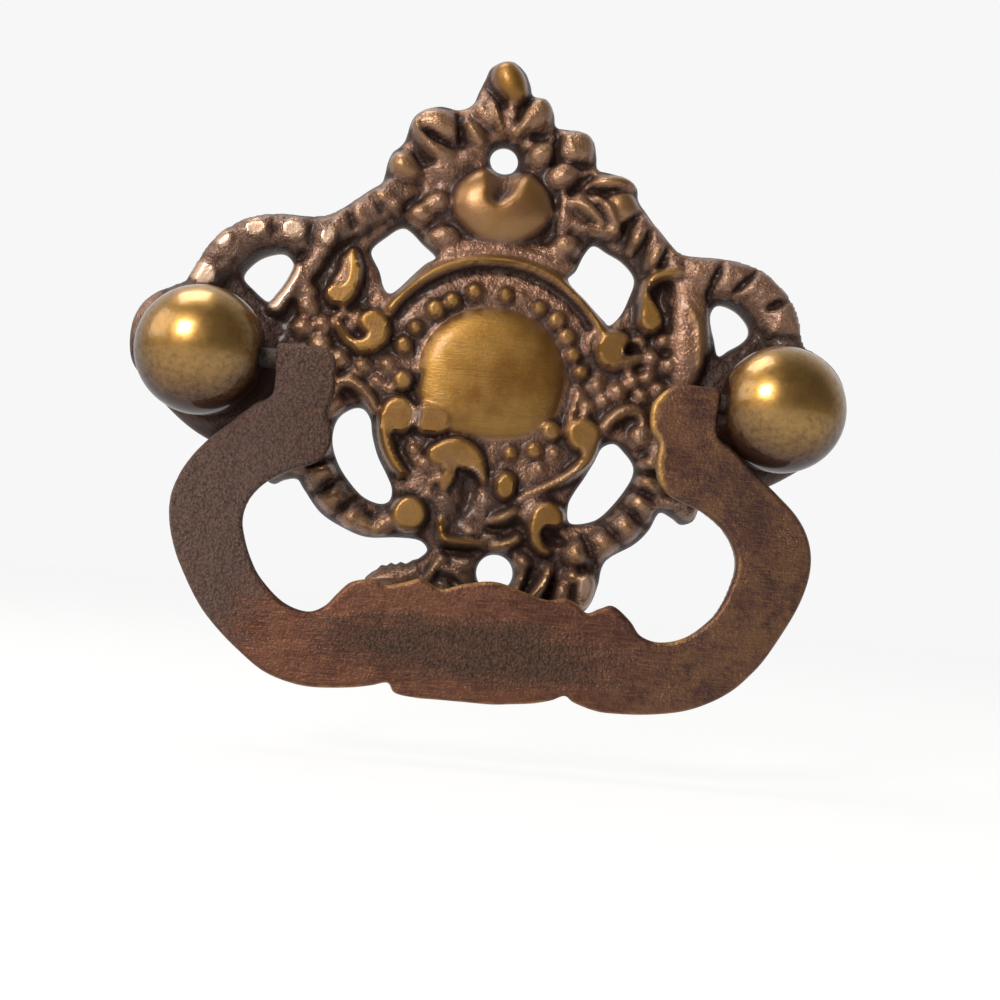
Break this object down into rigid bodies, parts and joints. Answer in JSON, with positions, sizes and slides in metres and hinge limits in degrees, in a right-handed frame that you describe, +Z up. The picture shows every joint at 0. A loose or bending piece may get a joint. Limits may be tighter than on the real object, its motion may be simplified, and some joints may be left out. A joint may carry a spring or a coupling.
{
  "type": "bail drawer pull",
  "caption": "Cast brass drawer pull with a pierced scrollwork backplate, domed posts on threaded studs and a swinging bail handle.",
  "frame": {"origin": "midway between the two posts, on the plane of the backplate's back, which lies against the drawer front", "axes": "+Z up, +X to the right seen from the front, -Y out of the drawer front towards the hand, +Y along the studs into the drawer"},
  "size_m": [0.0826, 0.0392, 0.074],
  "materials": {
    "plate_brass": "dark antique patina worn to brass on the high spots",
    "post_brass": "satin, hand-polished by use",
    "bail_brass": "raw sand-cast back, filed along the grip",
    "nut_brass": "plain turned, dulled"
  },
  "bodies": {
    "plate": {"backplate": "plate_brass", "post_left": "post_brass", "post_right": "post_brass", "post_nuts": "nut_brass"},
    "bail": {"bail": "bail_brass"}
  },
  "joints": [
    {"name": "bail_swing", "type": "hinge", "parent": "plate", "child": "bail", "pos_m": [0, -0.0086, 0], "axis": [-1, 0, 0], "range_deg": [-7, 183]}
  ]
}
